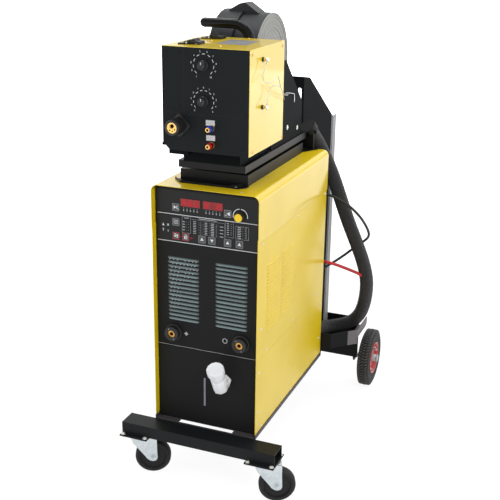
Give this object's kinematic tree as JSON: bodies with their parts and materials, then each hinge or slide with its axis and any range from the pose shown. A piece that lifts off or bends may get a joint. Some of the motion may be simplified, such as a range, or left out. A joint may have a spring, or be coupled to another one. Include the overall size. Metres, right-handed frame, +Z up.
{
  "type": "mig welder on cart",
  "caption": "Water-cooled wire-feed arc welder on a wheeled cart, with a swivelling wire feeder on top, a covered spool, a hose sleeve and a gas cylinder column.",
  "frame": {"origin": "on the floor under the middle of the cart's bounding box", "axes": "+X to the machine's right seen from its front, +Y to its back, +Z up"},
  "size_m": [0.738, 1.158, 1.587],
  "materials": {
    "yellow_paint": "gloss powder coat",
    "black_paint": "satin powder coat",
    "grey_slats": "satin",
    "pale_paint": "satin",
    "red_rim": "gloss",
    "zinc": "zinc plated",
    "steel": "plain",
    "cast_alu": "plain",
    "brass": "turned",
    "tyre_rubber": "matt",
    "black_rubber": "matt",
    "black_plastic": "matt",
    "white_plastic": "satin",
    "yellow_plastic": "gloss",
    "membrane": "printed film",
    "window": "dark red window",
    "blue_anodised": "anodised",
    "red_anodised": "anodised",
    "tank": "translucent white",
    "sleeve_cloth": "woven nylon",
    "wire": "braided",
    "copper_wire": "copper coated",
    "red_hose": "smooth"
  },
  "bodies": {
    "cart": {"base_tray": "black_paint", "chassis_frame": "black_paint", "front_channel": "black_paint", "case_screws": "zinc", "rear_axle": "steel", "rear_shelf": "black_paint", "rear_column": "black_paint", "cooler_front": "black_paint", "cooler_sides": "yellow_paint", "coolant_tank": "tank", "filler_elbow": "white_plastic", "source_front": "black_paint", "source_sides": "yellow_paint", "top_cover": "yellow_paint", "control_membrane": "membrane", "display_windows": "window", "output_sockets": "black_plastic", "socket_inserts": "brass", "rear_panel": "black_paint", "power_module": "cast_alu", "platform": "black_paint", "hose_sleeve": "sleeve_cloth", "control_cable": "black_rubber", "coolant_hose": "red_hose"},
    "feeder": {"swivel_tray": "black_paint", "feeder_frame": "black_paint", "feeder_front": "black_paint", "spool_bracket": "black_paint", "feeder_cover": "yellow_paint", "carry_handle": "black_rubber", "gun_collar": "black_plastic", "gun_core": "brass", "coupling_bodies": "brass", "tethered_plugs": "zinc", "wire_drive": "cast_alu", "spool_cover": "pale_paint", "lanyards": "wire"},
    "door": {"feeder_door": "yellow_paint"},
    "front_latch": {"latch_front": "black_plastic"},
    "rear_latch": {"latch_rear": "black_plastic"},
    "lid": {"spool_lid": "black_plastic"},
    "spool": {"wire_spool": "copper_wire"},
    "lower_roll": {"drive_roll": "steel"},
    "upper_roll": {"pressure_roll": "steel"},
    "speed_knob": {"feed_knob": "black_plastic"},
    "volts_knob": {"voltage_knob": "black_plastic"},
    "blue_ring": {"coupling_sleeve_blue": "blue_anodised"},
    "red_ring": {"coupling_sleeve_red": "red_anodised"},
    "encoder": {"encoder_knob": "yellow_plastic"},
    "cap": {"filler_cap": "white_plastic"},
    "fan": {"cooling_fan": "black_plastic"},
    "mains_knob": {"mains_switch": "black_plastic"},
    "caster_left": {"caster_left_fork": "zinc"},
    "caster_left_roller": {"caster_left_wheel": "black_rubber"},
    "caster_right": {"caster_right_fork": "zinc"},
    "caster_right_roller": {"caster_right_wheel": "black_rubber"},
    "wheel_left": {"rear_left_tyre": "tyre_rubber", "rear_left_rim": "red_rim"},
    "wheel_right": {"rear_right_tyre": "tyre_rubber", "rear_right_rim": "red_rim"}
  },
  "joints": [
    {"name": "feeder_swivel", "type": "hinge", "parent": "cart", "child": "feeder", "pos_m": [0, -0.122, 1.1], "axis": [0, 0, 1], "range_deg": [-60, 60]},
    {"name": "door_hinge", "type": "hinge", "parent": "feeder", "child": "door", "pos_m": [-0.1475, -0.33, 1.18], "axis": [0, -1, 0], "range_deg": [0, 100]},
    {"name": "front_latch_hinge", "type": "hinge", "parent": "door", "child": "front_latch", "pos_m": [-0.087, -0.404, 1.493], "axis": [0, -1, 0], "range_deg": [0, 100]},
    {"name": "rear_latch_hinge", "type": "hinge", "parent": "door", "child": "rear_latch", "pos_m": [-0.087, -0.236, 1.493], "axis": [0, -1, 0], "range_deg": [0, 100]},
    {"name": "spool_lid_hinge", "type": "hinge", "parent": "feeder", "child": "lid", "pos_m": [-0.06, 0.013, 1.21], "axis": [0, -1, 0], "range_deg": [0, 60]},
    {"name": "wire_spool_spin", "type": "hinge", "parent": "feeder", "child": "spool", "pos_m": [-0.071, 0.013, 1.39], "axis": [1, 0, 0], "continuous": true},
    {"name": "drive_roll_spin", "type": "hinge", "parent": "feeder", "child": "lower_roll", "pos_m": [-0.088, -0.342, 1.232], "axis": [1, 0, 0], "continuous": true},
    {"name": "pressure_roll_spin", "type": "hinge", "parent": "feeder", "child": "upper_roll", "pos_m": [-0.088, -0.342, 1.269], "axis": [1, 0, 0], "continuous": true},
    {"name": "feed_knob_turn", "type": "hinge", "parent": "feeder", "child": "speed_knob", "pos_m": [-0.006, -0.492, 1.434], "axis": [0, 1, 0], "range_deg": [-135, 135]},
    {"name": "voltage_knob_turn", "type": "hinge", "parent": "feeder", "child": "volts_knob", "pos_m": [-0.006, -0.492, 1.324], "axis": [0, 1, 0], "range_deg": [-135, 135]},
    {"name": "blue_ring_slide", "type": "slide", "parent": "feeder", "child": "blue_ring", "axis": [0, 1, 0], "range_m": [0, 0.003], "stiffness_N_per_m": 400},
    {"name": "red_ring_slide", "type": "slide", "parent": "feeder", "child": "red_ring", "axis": [0, 1, 0], "range_m": [0, 0.003], "stiffness_N_per_m": 400},
    {"name": "encoder_turn", "type": "hinge", "parent": "cart", "child": "encoder", "pos_m": [0.115, -0.482, 0.968], "axis": [0, 1, 0], "continuous": true},
    {"name": "filler_cap_turn", "type": "hinge", "parent": "cart", "child": "cap", "pos_m": [0.065, -0.54609, 0.45475], "axis": [0, -0.4695, 0.8829], "continuous": true},
    {"name": "fan_spin", "type": "hinge", "parent": "cart", "child": "fan", "pos_m": [-0.108, 0.205, 0.76], "axis": [0, 1, 0], "continuous": true},
    {"name": "mains_switch_turn", "type": "hinge", "parent": "cart", "child": "mains_knob", "pos_m": [-0.12, 0.236, 0.93], "axis": [0, 1, 0], "range_deg": [0, 90]},
    {"name": "caster_left_swivel", "type": "hinge", "parent": "cart", "child": "caster_left", "pos_m": [-0.233, -0.527, 0.145], "axis": [0, 0, 1], "continuous": true},
    {"name": "caster_left_roll", "type": "hinge", "parent": "caster_left", "child": "caster_left_roller", "pos_m": [-0.19154, -0.50802, 0.0625], "axis": [-0.4163, 0.9092, 0], "continuous": true},
    {"name": "caster_right_swivel", "type": "hinge", "parent": "cart", "child": "caster_right", "pos_m": [0.233, -0.527, 0.145], "axis": [0, 0, 1], "continuous": true},
    {"name": "caster_right_roll", "type": "hinge", "parent": "caster_right", "child": "caster_right_roller", "pos_m": [0.27446, -0.50802, 0.0625], "axis": [-0.4163, 0.9092, 0], "continuous": true},
    {"name": "rear_left_roll", "type": "hinge", "parent": "cart", "child": "wheel_left", "pos_m": [-0.33, 0.46, 0.119], "axis": [1, 0, 0], "continuous": true},
    {"name": "rear_right_roll", "type": "hinge", "parent": "cart", "child": "wheel_right", "pos_m": [0.33, 0.46, 0.119], "axis": [1, 0, 0], "continuous": true}
  ],
  "couplings": [
    {"joint": "pressure_roll_spin", "follows": "drive_roll_spin", "ratio": -1}
  ]
}
